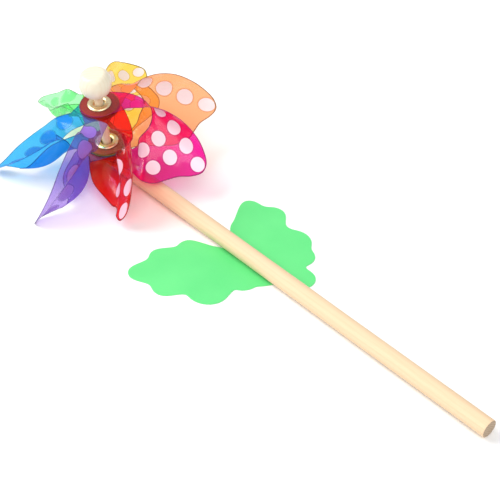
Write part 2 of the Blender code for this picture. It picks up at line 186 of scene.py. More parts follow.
BORDER_BLUR = 0.12
TAB_SHADE_COLOUR = (0.62, 0.18, 0.12)      # painted shade of the tabs, where they are pressed together in the stack
TAB_SHADE_OPACITY = 0.2                       # and how much that painted shade hides there

# Sheets: tint of what shows through, colour of the sheet, ink, whether the dots are outside, and the dots
SHEETS = {
    "vane_magenta": ((0.94, 0.03, 0.46), (0.90, 0.028, 0.40), WHITE_INK, False, DOT_ROWS),
    "vane_orange": ((1.00, 0.46, 0.22), (1.00, 0.40, 0.16), WHITE_INK, False, DOT_ROW),
    "vane_yellow": ((0.97, 0.66, 0.09), (0.96, 0.64, 0.07), WHITE_INK, False, DOT_ROWS),
    "vane_green": ((0.40, 0.97, 0.48), (0.32, 0.92, 0.42), WHITE_INK, False, DOT_ROWS),
    "vane_blue": ((0.06, 0.50, 0.90), (0.03, 0.40, 0.90), WHITE_INK, False, DOT_ROW),
    "vane_purple": ((0.54, 0.39, 0.82), (0.40, 0.26, 0.78), WHITE_INK, True, DOT_BENT_ROW),
    "vane_red": ((0.98, 0.03, 0.02), (0.90, 0.03, 0.018), PINK_INK, True, DOT_FEW),
}

# Leaf sheet.  Its edge is the outer envelope of its lobes, each given in millimetres: x along the stick from
# the axle, y across it, and radius
LEAF_THICKNESS = 0.4 * MM
LEAF_EDGE_ROUNDING = 0.1 * MM
LEAF_CENTRE = (116.0, -3.0)
LEAF_LOBES = [
    (91.0, -16.0, 8.5), (86.0, -32.0, 8.5), (88.0, -49.0, 8.5), (105.0, -46.0, 9.0),
    (121.0, -31.0, 12.5), (126.0, -11.0, 10.5), (110.0, -20.0, 20.0),
    (97.0, 18.0, 8.5), (85.5, 34.0, 7.8), (99.0, 39.0, 8.8), (123.0, 32.0, 10.8),
    (134.0, 26.0, 9.0), (147.0, 13.0, 9.0), (112.0, 22.0, 17.0), (122.0, 4.0, 20.0),
]
LEAF_POINTS_AROUND = 720
LEAF_SMOOTHING = 56                  # passes that soften the notches between lobes
LEAF_RINGS = (0.15, 0.35, 0.55, 0.75, 0.9)           # shares of the way from the edge to the centre
LEAF_GLOW = 0.25                     # share of light that comes through the leaf
PAD_LENGTH = 20.0 * MM
PAD_WIDTH = 4.0 * MM
PAD_THICKNESS = 0.4 * MM
PAD_X = 118.0 * MM
PAD_GAP = 0.1 * MM
PAD_SEGMENTS = 72
PAD_RINGS = [(0.92, 0.0), (1.0, 0.3), (1.0, 0.7), (0.92, 1.0)]       # shares of the pad's size and height
PAD_ROUNDNESS = 0.6                  # power of the pad's rounded rectangle: 1 is an ellipse, 0 a rectangle

ROLL = 10.0                          # degrees about the stick: brings the wheel's rim down to the table

# Camera: place and target from the axle's foot, roll in degrees, lens and sensor in millimetres
CAMERA_PLACE = (501.69 * MM, -401.67 * MM, 474.67 * MM)
CAMERA_TARGET = (112.20 * MM, 8.77 * MM, -6.0 * MM)
CAMERA_ROLL = 4.12
LENS = 95.8
SENSOR = 36.0

# Studio: name, place, aim and size in metres, and watts
LIGHTS = [
    ("key_light", (-1.0, -0.7, 1.2), (-0.08, 0.0, 0.0), 1.1, 22.0),
    ("fill_light", (0.8, -0.6, 1.3), (0.0, 0.0, 0.0), 1.5, 13.0),
]
SKY_STRENGTH = 0.62
FLOOR_HALF_SIZE = 6.0
FLOOR_COLOUR = (0.93, 0.93, 0.93)
FLOOR_DROP = 0.05 * MM               # keeps the floor just under the leaf

stick_low, stick_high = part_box("stick")
FOOT = Vector((
    stick_low.x + STICK_HEAD_OVERHANG,
    (stick_low.y + stick_high.y) / 2,
    (stick_low.z + stick_high.z) / 2,
))
LYING = Matrix.Translation(FOOT) @ Matrix.Rotation(radians(ROLL), 4, "X")


# --- nodes -------------------------------------------------------------------------------------------------

def node(tree, kind, inputs=None, **settings):
    made = tree.nodes.new(kind)
    for key, value in settings.items():
        setattr(made, key, value)
    for key, value in (inputs or {}).items():
        if isinstance(value, bpy.types.NodeSocket):
            tree.links.new(value, made.inputs[key])
        else:
            made.inputs[key].default_value = value
    return made


def maths(tree, operation, first, second=0.0, clamp=False):
    inputs = {0: first, 1: second}
    return node(tree, "ShaderNodeMath", inputs, operation=operation, use_clamp=clamp).outputs[0]


def distance_from(tree, place, centre, kept=None):
    """How far a place is from the centre, measured along the kept axes or along all three."""
    moved = node(tree, "ShaderNodeVectorMath", {0: place, 1: centre}, operation="SUBTRACT").outputs[0]
    if kept:
        moved = node(tree, "ShaderNodeVectorMath", {0: moved, 1: kept}, operation="MULTIPLY").outputs[0]
    return node(tree, "ShaderNodeVectorMath", {0: moved}, operation="LENGTH").outputs["Value"]


def blend_colours(tree, share, first, second):
    made = node(tree, "ShaderNodeMix", data_type="RGBA")
    for key, value in ((0, share), (6, first), (7, second)):
        if isinstance(value, bpy.types.NodeSocket):
            tree.links.new(value, made.inputs[key])
        else:
            made.inputs[key].default_value = value if key == 0 else (*value, 1.0)
    return made.outputs[2]


def noise(tree, coordinates, scale, detail=3.0, stretch=(1.0, 1.0, 1.0), roughness=0.5):
    mapped = node(tree, "ShaderNodeMapping", {"Vector": coordinates, "Scale": stretch})
    return node(tree, "ShaderNodeTexNoise", {
        "Vector": mapped.outputs[0], "Scale": scale, "Detail": detail, "Roughness": roughness,
    }).outputs["Fac"]


def ranged(tree, value, low, high, to_low=0.0, to_high=1.0, smooth=False):
    return node(tree, "ShaderNodeMapRange", {
        "Value": value, "From Min": low, "From Max": high, "To Min": to_low, "To Max": to_high,
    }, interpolation_type="SMOOTHSTEP" if smooth else "LINEAR").outputs[0]


def bump(tree, height, distance, strength=1.0):
    return node(tree, "ShaderNodeBump", {
        "Height": height, "Distance": distance, "Strength": strength,
    }).outputs["Normal"]


def new_material(name):
    mat = bpy.data.materials.new(name)
    mat.use_nodes = True
    tree = mat.node_tree
    return mat, tree, tree.nodes["Principled BSDF"], tree.nodes["Material Output"]


def object_coordinates(tree):
    return node(tree, "ShaderNodeTexCoord").outputs["Object"]


def wood(name, light, dark, ring_pitch, roughness, axis, centre, relief=0.05 * MM):
    """Solid wood: growth rings about an axis beside the piece, with fine grain along that axis."""
    mat, tree, shader, _ = new_material(name)
    place = object_coordinates(tree)
    along = {"X": (0.12, 1.0, 1.0), "Z": (1.0, 1.0, 0.12)}[axis]
    across = {"X": (0.0, 1.0, 1.0), "Z": (1.0, 1.0, 0.0)}[axis]
    reach = distance_from(tree, place, centre, across)
    wander = noise(tree, place, 90.0, 2.0, along)
    reach = maths(tree, "ADD", reach, maths(tree, "MULTIPLY", wander, 1.6 * ring_pitch))
    turn = maths(tree, "MULTIPLY", reach, 2 * pi / ring_pitch)
    rings = maths(tree, "MULTIPLY", maths(tree, "ADD", maths(tree, "SINE", turn), 1.0), 0.5)
    rings = maths(tree, "POWER", rings, 2.2)
    fibres = noise(tree, place, 2600.0, 3.0, tuple(0.03 if a < 1 else 1.0 for a in along), 0.6)
    streaks = noise(tree, place, 520.0, 2.0, tuple(0.03 if a < 1 else 1.0 for a in along))
    share = maths(tree, "MULTIPLY", rings, 0.45)
    share = maths(tree, "ADD", share, maths(tree, "MULTIPLY", streaks, 0.45))
    share = maths(tree, "ADD", share, ranged(tree, fibres, 0.40, 0.75, -0.12, 0.35), clamp=True)
    colour = blend_colours(tree, share, light, dark)
    tree.links.new(colour, shader.inputs["Base Color"])
    tree.links.new(ranged(tree, fibres, 0.3, 0.7, roughness, roughness + 0.15), shader.inputs["Roughness"])
    height = maths(tree, "ADD", fibres, maths(tree, "MULTIPLY", rings, 0.4))
    tree.links.new(bump(tree, height, relief, 0.5), shader.inputs["Normal"])
    return mat


def end_grain_and_shade(name, light, dark, centre):
    """The sawn end: growth rings as arcs, with open pores."""
    mat, tree, shader, _ = new_material(name)
    place = object_coordinates(tree)
    reach = distance_from(tree, place, centre, (0.0, 1.0, 1.0))
    reach = maths(tree, "ADD", reach, maths(tree, "MULTIPLY", noise(tree, place, 350.0), 0.7 * MM))
    rings = maths(tree, "SINE", maths(tree, "MULTIPLY", reach, 2 * pi / END_RING_PITCH))
    pores = noise(tree, place, 3800.0, 4.0)
    # The end's colours are darker than the side's, partly as end grain is and partly as painted shade of the
    # end face.
    share = maths(tree, "ADD", ranged(tree, rings, -1.0, 1.0, 0.1, 0.55),
                  ranged(tree, pores, 0.45, 0.7, -0.1, 0.45), clamp=True)
    tree.links.new(blend_colours(tree, share, light, dark), shader.inputs["Base Color"])
    tree.links.new(bump(tree, pores, 0.12 * MM, 0.8), shader.inputs["Normal"])
    shader.inputs["Roughness"].default_value = 0.8
    return mat


def brass(name):
    """Polished sheet metal, tarnished in clouds and finely scratched."""
    mat, tree, shader, _ = new_material(name)
    place = object_coordinates(tree)
    tarnish = noise(tree, place, 420.0, 4.0)
    scratches = noise(tree, place, 3000.0, 2.0, (1.0, 0.12, 1.0))
    colour = blend_colours(tree, ranged(tree, tarnish, 0.35, 0.7), (0.96, 0.80, 0.52), (0.80, 0.60, 0.32))
    tree.links.new(colour, shader.inputs["Base Color"])
    tree.links.new(ranged(tree, tarnish, 0.3, 0.75, 0.22, 0.38), shader.inputs["Roughness"])
    tree.links.new(bump(tree, scratches, 0.02 * MM, 0.35), shader.inputs["Normal"])
    shader.inputs["Metallic"].default_value = 1.0
    return mat


def plain_plastic(name, light, dark, roughness, scale=300.0):
    """A dense, slightly clouded plastic."""
    mat, tree, shader, _ = new_material(name)
    place = object_coordinates(tree)
    cloud = noise(tree, place, scale, 3.0)
    grain = noise(tree, place, 4200.0, 2.0)
    colour = blend_colours(tree, ranged(tree, cloud, 0.3, 0.7), light, dark)
    tree.links.new(colour, shader.inputs["Base Color"])
    tree.links.new(ranged(tree, cloud, 0.3, 0.7, roughness, roughness + 0.08), shader.inputs["Roughness"])
    tree.links.new(bump(tree, grain, 0.02 * MM, 0.3), shader.inputs["Normal"])
    return mat


def leaf_plastic(name, light, dark):
    """Satin green sheet, a little see-through, with faint handling marks."""
    mat, tree, shader, out = new_material(name)
    place = object_coordinates(tree)
    cloud = noise(tree, place, 28.0, 2.0)
    grain = noise(tree, place, 5200.0, 2.0)
    scuffs = noise(tree, place, 900.0, 3.0, (0.15, 1.0, 1.0))
    clouded = ranged(tree, cloud, 0.35, 0.65, 0.0, 0.8)
    share = maths(tree, "ADD", clouded, ranged(tree, grain, 0.3, 0.7, 0.0, 0.2))
    colour = blend_colours(tree, share, light, dark)
    tree.links.new(colour, shader.inputs["Base Color"])
    tree.links.new(ranged(tree, scuffs, 0.35, 0.7, 0.34, 0.5), shader.inputs["Roughness"])
    tree.links.new(bump(tree, maths(tree, "ADD", grain, scuffs), 0.03 * MM, 0.35), shader.inputs["Normal"])
    through = node(tree, "ShaderNodeBsdfTranslucent", {"Color": colour})
    mixed = node(tree, "ShaderNodeMixShader", {0: LEAF_GLOW, 1: shader.outputs[0], 2: through.outputs[0]})
    tree.links.new(mixed.outputs[0], out.inputs["Surface"])
    return mat


def dot_shares(tree):
    """1 on a printed dot, and 1 on the thin shade that its thickness casts round it."""
    grid = node(tree, "ShaderNodeUVMap", uv_map="Print").outputs["UV"]
    cell = node(tree, "ShaderNodeVectorMath", {0: grid}, operation="FRACTION").outputs[0]
    reach = distance_from(tree, cell, (0.5, 0.5, 0.0))
    inside = ranged(tree, reach, DOT_RADIUS + DOT_EDGE, DOT_RADIUS - DOT_EDGE, smooth=True)
    shaded = ranged(tree, reach, DOT_RADIUS + DOT_SHADE, DOT_RADIUS + DOT_EDGE, smooth=True)
    around = maths(tree, "SUBTRACT", shaded, inside, clamp=True)
    attribute = node(tree, "ShaderNodeAttribute", attribute_name="printed").outputs["Fac"]
    printed = ranged(tree, attribute, 0.45, 0.55)
    mask = maths(tree, "MULTIPLY", inside, printed, clamp=True)
    shade = maths(tree, "MULTIPLY", around, printed, clamp=True)
    return mask, shade


def painted_edge_shade(tree):
    """1 on the narrow strip along the cut edge, where a dark line of shade is painted."""
    border = node(tree, "ShaderNodeAttribute", attribute_name="border").outputs["Fac"]
    return ranged(tree, border, BORDER, BORDER + BORDER_BLUR, smooth=True)


def paint_tab_shade(tree, colour, opacity):
    """The colour and the opacity, changed on the tabs, where shade is painted over the sheets pressed
    together.
    """
    tab = node(tree, "ShaderNodeAttribute", attribute_name="tab").outputs["Fac"]
    shade_cover = maths(tree, "MULTIPLY", tab, TAB_SHADE_OPACITY)
    return blend_colours(tree, tab, colour, TAB_SHADE_COLOUR), maths(tree, "MAXIMUM", opacity, shade_cover)


def sheet_gloss(tree, shader):
    """Fine handling scratches and the slight waviness of a die-cut sheet: its normal and its roughness."""
    flat = node(tree, "ShaderNodeUVMap", uv_map="Flat").outputs["UV"]
    waves = noise(tree, flat, 60.0, 1.0)
    scratches = noise(tree, flat, 1600.0, 2.0, (1.0, 0.06, 1.0))
    height = maths(tree, "ADD", waves, maths(tree, "MULTIPLY", scratches, 0.02))
    normal = bump(tree, height, 0.25 * MM, 0.25)
    roughness = ranged(tree, scratches, 0.35, 0.75, 0.07, 0.2)
    tree.links.new(roughness, shader.inputs["Roughness"])
    tree.links.new(normal, shader.inputs["Normal"])
    shader.inputs["Specular IOR Level"].default_value = 0.2
    return normal, roughness


def see_through(tree, shader, out, tint, opacity, gloss):
    """Mixes the shader over what is seen through the sheet, which takes the tint, under a clear gloss."""
    normal, roughness = gloss
    clear = node(tree, "ShaderNodeBsdfTransparent", {"Color": (*tint, 1.0)})
    body = node(tree, "ShaderNodeMixShader", {0: opacity, 1: clear.outputs[0], 2: shader.outputs[0]})
    mirror = node(tree, "ShaderNodeBsdfGlossy", {"Roughness": roughness, "Normal": normal})
    slant = node(tree, "ShaderNodeLayerWeight", {"Blend": 0.5, "Normal": normal}).outputs["Facing"]
    glancing = maths(tree, "MULTIPLY", maths(tree, "POWER", slant, 5.0), GLOSS_AT_EDGE)
    share = maths(tree, "ADD", glancing, GLOSS_FACING)
    mixed = node(tree, "ShaderNodeMixShader", {0: share, 1: body.outputs[0], 2: mirror.outputs[0]})
    tree.links.new(mixed.outputs[0], out.inputs["Surface"])


def edged(tree, shader, colour, opacity, border, body):
    """Draws the painted dark line of shade into the shader's colour, and gives the opacity with that line.
    """
    dark = tuple(EDGE_DARKNESS * value for value in body)
    tree.links.new(blend_colours(tree, border, colour, dark), shader.inputs["Base Color"])
    return maths(tree, "MAXIMUM", opacity, maths(tree, "MULTIPLY", border, EDGE_OPACITY))


def printed_face(name, body, ink):
    """The face with the dots on it."""
    mat, tree, shader, out = new_material(name)
    mask, shade = dot_shares(tree)
    shadow = maths(tree, "MULTIPLY", shade, SHADE_STRENGTH)
    # painted shade along the cut edge, joined with the painted shade round each dot
    border = maths(tree, "MAXIMUM", painted_edge_shade(tree), shadow)
    inked = blend_colours(tree, mask, body, ink)
    colour, opacity = paint_tab_shade(tree, inked, ranged(tree, mask, 0.0, 1.0, PRINTED_OPACITY, INK_OPACITY))
    opacity = edged(tree, shader, colour, opacity, border, body)
    gloss = sheet_gloss(tree, shader)
    through = node(tree, "ShaderNodeBsdfTranslucent", {"Color": (*ink, 1.0)})
    share = maths(tree, "MULTIPLY", mask, INK_GLOW)
    layer = node(tree, "ShaderNodeMixShader", {0: share, 1: shader.outputs[0], 2: through.outputs[0]})
    see_through(tree, layer, out, CLEAR_TINT, opacity, gloss)
    return mat


def clear_face(name, tint, body):
    """The unprinted face, which holds the sheet's colour."""
    mat, tree, shader, out = new_material(name)
    flat = node(tree, "ShaderNodeUVMap", uv_map="Flat").outputs["UV"]
    cloud = noise(tree, flat, 45.0, 2.0)
    clouded = blend_colours(tree, ranged(tree, cloud, 0.3, 0.7, 0.0, 0.35), body, tint)
    colour, opacity = paint_tab_shade(tree, clouded, ranged(tree, cloud, 0.3, 0.7, *CLEAR_OPACITY))
    opacity = edged(tree, shader, colour, opacity, painted_edge_shade(tree), body)
    gloss = sheet_gloss(tree, shader)
    see_through(tree, shader, out, tint, opacity, gloss)
    return mat


def cut_edge(name, body):
    """The sheet's cut edge, which looks darker than its faces."""
    mat, tree, shader, _ = new_material(name)
    grain = noise(tree, object_coordinates(tree), 2500.0, 2.0)
    light = tuple(0.45 * value for value in body)
    dark = tuple(0.20 * value for value in body)
    tree.links.new(blend_colours(tree, grain, light, dark), shader.inputs["Base Color"])
    shader.inputs["Roughness"].default_value = 0.4
    return mat


# --- meshes ------------------------------------------------------------------------------------------------

def mesh_object(name, bm, materials, smooth_angle=None, place=LYING):
    """Makes an object of the mesh, moved to its place and with its sharp edges kept."""
    bmesh.ops.recalc_face_normals(bm, faces=bm.faces)
    mesh = bpy.data.meshes.new(name)
    bm.to_mesh(mesh)
    bm.free()
    mesh.transform(place)
    obj = bpy.data.objects.new(name, mesh)
    bpy.context.scene.collection.objects.link(obj)
    for mat in materials:
        mesh.materials.append(mat)
    if smooth_angle is not None:
        mesh.shade_smooth()
        mesh.set_sharp_from_angle(angle=radians(smooth_angle))
    return obj


def ring_faces(bm, first, second):
    """Joins two rings of vertices with a band of faces."""
    count = len(first)
    for i in range(count):
        j = (i + 1) % count
        bm.faces.new((first[i], first[j], second[j], second[i]))


def turned(name, profile, mat, axis="Z", segments=ROUND_SEGMENTS, closed=False, angle=40, wobble=None):
    """A solid of revolution from (radius, height) pairs; radius 0 is a pole on the axis."""
    bm = bmesh.new()
    rings = []
    for radius, height in profile:
        turns = [0.0] if radius == 0 else [2 * pi * i / segments for i in range(segments)]
        ring = []
        for turn in turns:
            out = radius + (wobble(turn, height) if wobble and radius > 0 else 0.0)
            across = out * cos(turn)
            side = out * sin(turn)
            point = (across, side, height) if axis == "Z" else (height, across, side)
            ring.append(bm.verts.new(point))
        rings.append(ring)
    pairs = list(zip(rings, rings[1:]))
    if closed:
        pairs.append((rings[-1], rings[0]))
    for low, high in pairs:
        for i in range(segments):
            j = (i + 1) % segments
            corners = [low[i % len(low)], low[j % len(low)], high[j % len(high)], high[i % len(high)]]
            distinct = list(dict.fromkeys(corners))
            if len(distinct) > 2:
                bm.faces.new(distinct)
    return mesh_object(name, bm, [mat], smooth_angle=angle)


def arc(centre, radii, first, last, steps):
    """Points of (radius, height) on an elliptical arc, angles in degrees."""
    turns = [radians(first + (last - first) * i / steps) for i in range(steps + 1)]
    return [(centre[0] + radii[0] * cos(t), centre[1] + radii[1] * sin(t)) for t in turns]


def flat_ring(inner, outer, back, front, edge):
    """Closed profile of a flat ring whose edges are rounded."""
    corners = [
        (outer - edge, back + edge, -90),
        (outer - edge, front - edge, 0),
        (inner + edge, front - edge, 90),
        (inner + edge, back + edge, 180),
    ]
    profile = []
    for radius, height, first in corners:
        profile += arc((radius, height), (edge, edge), first, first + 90, 3)
    return profile


def apply_modifiers(obj):
    depsgraph = bpy.context.evaluated_depsgraph_get()
    shape = obj.evaluated_get(depsgraph)
    mesh = bpy.data.meshes.new_from_object(shape, preserve_all_data_layers=True, depsgraph=depsgraph)
    obj.modifiers.clear()
    obj.data = mesh


def stands_for(obj, node_name, body):
    """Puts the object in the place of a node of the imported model."""
    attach(obj, body)
    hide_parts(node_name)


def drill_axle_hole(stick, mat):
    """Cuts the blind hole that the axle is glued into."""
    foot = STICK_RADIUS - AXLE_HOLE_DEPTH
    mouth = STICK_RADIUS + MM
    hole = [(0, foot), (AXLE_HOLE_RADIUS, foot), (AXLE_HOLE_RADIUS, mouth), (0, mouth)]
    cutter = turned("axle_hole_cutter", hole, mat, segments=48)
    boolean = stick.modifiers.new("hole", "BOOLEAN")
    boolean.operation = "DIFFERENCE"
    boolean.solver = "EXACT"
    boolean.object = cutter
    apply_modifiers(stick)
    bpy.data.objects.remove(cutter, do_unlink=True)


def make_stick():
    head = -STICK_HEAD_OVERHANG
    tail = STICK_LENGTH - STICK_HEAD_OVERHANG
    rim = STICK_RADIUS - STICK_END_CHAMFER
    profile = [(0, head), (rim * 0.5, head)]
    profile += arc((rim, head + STICK_END_CHAMFER), (STICK_END_CHAMFER,) * 2, -90, 0, 4)
    span = STICK_LENGTH - 2 * STICK_END_CHAMFER
    for i in range(1, STICK_SLICES):
        profile.append((STICK_RADIUS, head + STICK_END_CHAMFER + span * i / STICK_SLICES))
    profile += arc((rim, tail - STICK_END_CHAMFER), (STICK_END_CHAMFER,) * 2, 0, 90, 4)
    profile += [(rim * 0.5, tail), (0, tail)]

    def wobble(turn, along):
        ends = min(1.0, (along - head) / (4 * MM), (tail - along) / (4 * MM))
        wave = 0.5 * sin(3 * turn + 61.0 * along) + 0.5 * sin(5 * turn - 113.0 * along + 1.3)
        return -STICK_UNEVENNESS * ends * (1.0 + wave)

    pith = (0.0, FOOT.y - 9.0 * MM, FOOT.z - 14.0 * MM)
    side = wood(
        "stick_wood", light=(0.80, 0.60, 0.39), dark=(0.75, 0.53, 0.33),
        ring_pitch=2.6 * MM, roughness=0.6, axis="X", centre=pith,
    )
    # the end is coloured darker partly as end grain and partly as painted shade of the end face
    end = end_grain_and_shade("stick_end_grain_and_shade", light=(0.50, 0.38, 0.27), dark=(0.30, 0.21, 0.13), centre=pith)
    stick = turned("stick_dowel", profile, side, axis="X", segments=STICK_SEGMENTS, wobble=wobble)
    stick.data.materials.append(end)
    drill_axle_hole(stick, side)
    for face in stick.data.polygons:
        if abs(face.normal.x) > 0.7:
            face.material_index = 1
    stick.data.shade_smooth()
    stick.data.set_sharp_from_angle(angle=radians(35))
    stands_for(stick, "stick", "root")


def make_axle():
    edge = AXLE_EDGE_ROUNDING
    profile = [(0, AXLE_FOOT)]
    profile += arc((AXLE_RADIUS - edge, AXLE_FOOT + edge), (edge, edge), -90, 0, 3)
    profile += [(AXLE_RADIUS, AXLE_FOOT + (AXLE_TOP - AXLE_FOOT) * i / 30) for i in range(1, 30)]
    profile += arc((AXLE_RADIUS - edge, AXLE_TOP - edge), (edge, edge), 0, 90, 3)
    profile.append((0, AXLE_TOP))
    grain = wood(
        "axle_wood", light=(0.90, 0.76, 0.54), dark=(0.74, 0.55, 0.33),
        ring_pitch=1.7 * MM, roughness=0.5, axis="Z", centre=(FOOT.x + 6 * MM, FOOT.y - 9 * MM, 0.0),
    )
    stands_for(turned("axle_dowel", profile, grain), "axle_peg", "root")


def make_bead():
    half = 0.5 * (BEAD_FRONT - BEAD_BACK)
    middle = BEAD_BACK + half
    bore = AXLE_RADIUS + FIT_GAP
    flare = BEAD_BORE_FLARE
    profile = [(0, BEAD_BORE_TOP), (bore, BEAD_BORE_TOP), (bore, BEAD_BACK + flare)]
    profile += arc((bore + flare, BEAD_BACK + flare), (flare, flare), 180, 270, 4)[1:]
    profile += arc((BEAD_BACK_RADIUS, middle), (BEAD_RADIUS - BEAD_BACK_RADIUS, half), -90, 0, 18)
    profile += arc((BEAD_FRONT_RADIUS, middle), (BEAD_RADIUS - BEAD_FRONT_RADIUS, half), 0, 90, 18)[1:]
    profile += [(BEAD_FRONT_RADIUS * share, BEAD_FRONT) for share in (0.6, 0.25, 0)]

    def wobble(turn, height):
        return BEAD_UNEVENNESS * (sin(2 * turn + 300 * height) - 1.0)

    grain = wood(
        "bead_wood_grain", light=(0.80, 0.73, 0.58), dark=(0.76, 0.66, 0.49),
        ring_pitch=2.3 * MM, roughness=0.32, axis="Z",
        centre=(FOOT.x + 11 * MM, FOOT.y - 20 * MM, 0.0), relief=0.012 * MM,
    )
    varnish = grain.node_tree.nodes["Principled BSDF"].inputs
    varnish["Coat Weight"].default_value = 0.35
    varnish["Coat Roughness"].default_value = 0.25
    bead = turned("bead_turned", profile, grain, segments=96, wobble=wobble)
    stands_for(bead, "bead_cap", "root")


def make_spacer():
    bore = AXLE_RADIUS + FIT_GAP
    profile = flat_ring(bore, SPACER_RADIUS, SPACER_BACK, SPACER_FRONT, SPACER_EDGE_ROUNDING)
    mat = plain_plastic("spacer_nylon", (0.85, 0.85, 0.82), (0.72, 0.72, 0.69), roughness=0.42)
    stands_for(turned("spacer_ring", profile, mat, closed=True), "spacer_washer", "spacer")


def eyelet_profile(clinch_front, flange):
    """Closed profile of a rolled eyelet, from the front of its clinch to the back of its flange."""
    clinch_back = clinch_front - EYELET_FLANGE_THICKNESS
    crown = EYELET_FLANGE_THICKNESS + EYELET_CROWN
    middle = 0.5 * (EYELET_FLANGE_RADIUS + EYELET_BORE_RADIUS)
    curl = EYELET_CLINCH_RADIUS - EYELET_BARREL_RADIUS
    lip = 0.5 * EYELET_FLANGE_THICKNESS
    flare = EYELET_BORE_FLARE
    profile = [(EYELET_BORE_RADIUS, clinch_back + flare)]
    profile += arc((EYELET_BORE_RADIUS + flare, clinch_back + flare), (flare, flare), 180, 270, 5)[1:]
    profile += arc((EYELET_BARREL_RADIUS + curl - lip, clinch_back + lip), (lip, lip), -90, 90, 6)
    profile += [(EYELET_BARREL_RADIUS, clinch_front), (EYELET_BARREL_RADIUS, flange)]
    profile += [(EYELET_FLANGE_RADIUS - 0.1 * MM, flange)]
    profile += arc((middle, flange), (EYELET_FLANGE_RADIUS - middle, crown), 8, 90, 12)
    profile += arc((middle, flange), (middle - EYELET_BORE_RADIUS, crown), 90, 176, 12)[1:]
    return profile


def make_eyelet(side, lowest, mat):
    """A rolled brass eyelet, its flange over a stack of tabs, and the washer behind the stack."""
    low = lowest - SHEET_THICKNESS / 2
    high = lowest + (len(VANES) - 1) * TAB_PITCH + SHEET_THICKNESS / 2
    washer_front = low - 0.5 * FIT_GAP
    washer_back = washer_front - WASHER_THICKNESS
    profile = eyelet_profile(washer_back - 0.5 * FIT_GAP, high + 0.5 * FIT_GAP)
    rolled = turned(side + "_eyelet_rolled", profile, mat, closed=True, angle=50)
    stands_for(rolled, side + "_eyelet", "wheel")
    ring = flat_ring(TAB_HOLE_RADIUS, WASHER_RADIUS, washer_back, washer_front, WASHER_EDGE_ROUNDING)
    washer = turned(side + "_washer_stamped", ring, mat, closed=True)
    stands_for(washer, side + "_washer", "wheel")


# --- vanes -------------------------------------------------------------------------------------------------

def smooth_step(value):
    value = min(max(value, 0.0), 1.0)
    return value * value * (3.0 - 2.0 * value)


def hump(index, first, last, middle):
    """A smooth share that is 1 at the middle rib and 0 at the first and last ribs and beyond."""
    span = (index - first) / (last - first)
    skew = log(0.5) / log((middle - first) / (last - first))
    return sin(pi * span ** skew) if 0 < span < 1 else 0.0


def catmull_rom(points, steps):
    """A smooth curve through the given points, steps to each span."""
    points = np.asarray(points, float)
    ends = np.concatenate([2 * points[:1] - points[1:2], points, 2 * points[-1:] - points[-2:-1]])
    curve = []
    for i in range(1, len(ends) - 2):
        before, start, end, after = ends[i - 1:i + 3]
        for step in range(steps):
            t = step / steps
            curve.append(0.5 * (
                2 * start + (end - before) * t
                + (2 * before - 5 * start + 4 * end - after) * t * t
                + (3 * start - before - 3 * end + after) * t ** 3
            ))
    curve.append(points[-1])
    return np.array(curve)


def tab_arc(heading, level):
    """The half of a tab's edge that its strip is joined to."""
    turns = [radians(heading + 90.0 - 180.0 * i / CELLS_ACROSS) for i in range(CELLS_ACROSS + 1)]
    return np.array([(TAB_RADIUS * cos(t), TAB_RADIUS * sin(t), level) for t in turns])


def rib_row(inside, outside, bulge):
    """Points from the inner edge to the outer edge, bulging away from the hollow side."""
    across = outside - inside
    away = -np.array(SCOOP_AXIS)
    away = away - across * (away @ across) / (across @ across)
    away = away / np.linalg.norm(away)
    shares = np.linspace(0.0, 1.0, CELLS_ACROSS + 1)[:, None]
    return inside + across * shares + away * bulge * 4 * shares * (1 - shares)


def vane_levels():
    """Heights of the middles of the front and back stacks of tabs."""
    middle = 0.5 * (len(VANES) - 1)
    return FRONT_STACK_LOW + middle * TAB_PITCH, BACK_STACK_LOW + middle * TAB_PITCH


def coarse_rows(tuck, tuck_rib, droop, reach):
    """The sheet's middle surface as rows of points: the front tab's edge, the ribs, the back tab's edge."""
    front_level, back_level = vane_levels()
    rows = [tab_arc(FRONT_TAB_HEADING, front_level)]
    for index, (inside, outside, bulge) in enumerate(RIBS):
        share = hump(index, TUCK_FIRST_RIB, TUCK_LAST_RIB, tuck_rib)
        fall = hump(index, DROOP_FIRST_RIB, DROOP_LAST_RIB, DROOP_RIB)
        stretch = max(outside[0] - REACH_START, 0.0) * (reach - 1.0) * REACH_GAIN
        inner = np.array(inside) * MM
        outer = np.array([outside[0] + stretch, outside[1], outside[2]]) * MM
        width = np.linalg.norm(outer[:2] - inner[:2])
        inner[1] += TUCK_INNER_SHARE * share * tuck
        outer += np.array([0, share * tuck, -TUCK_SINK * share * tuck - fall * droop])
        across = outer[:2] - inner[:2]
        outer[:2] = inner[:2] + across * width / np.linalg.norm(across)
        rows.append(rib_row(inner, outer, bulge * MM + TUCK_BULGE * share * tuck))
    rows.append(tab_arc(BACK_TAB_HEADING, back_level))
    return np.array(rows)


def refined(rows):
    """A finer grid through coarse rows: smooth along the ribs, straight where a strip runs into its tab."""
    ribs, cells, size = rows[1:-1].shape
    along = catmull_rom(rows[1:-1].reshape(ribs, -1), FINE_ALONG).reshape(-1, cells, size)
    steps = [i / FINE_ALONG for i in range(FINE_ALONG)]
    front = [rows[0] + (rows[1] - rows[0]) * step for step in steps]
    back = [rows[-1] + (rows[-2] - rows[-1]) * step for step in steps]
    fine = np.array(front + list(along) + back[::-1])
    return catmull_rom(fine.transpose(1, 0, 2), FINE_ACROSS).transpose(1, 0, 2)


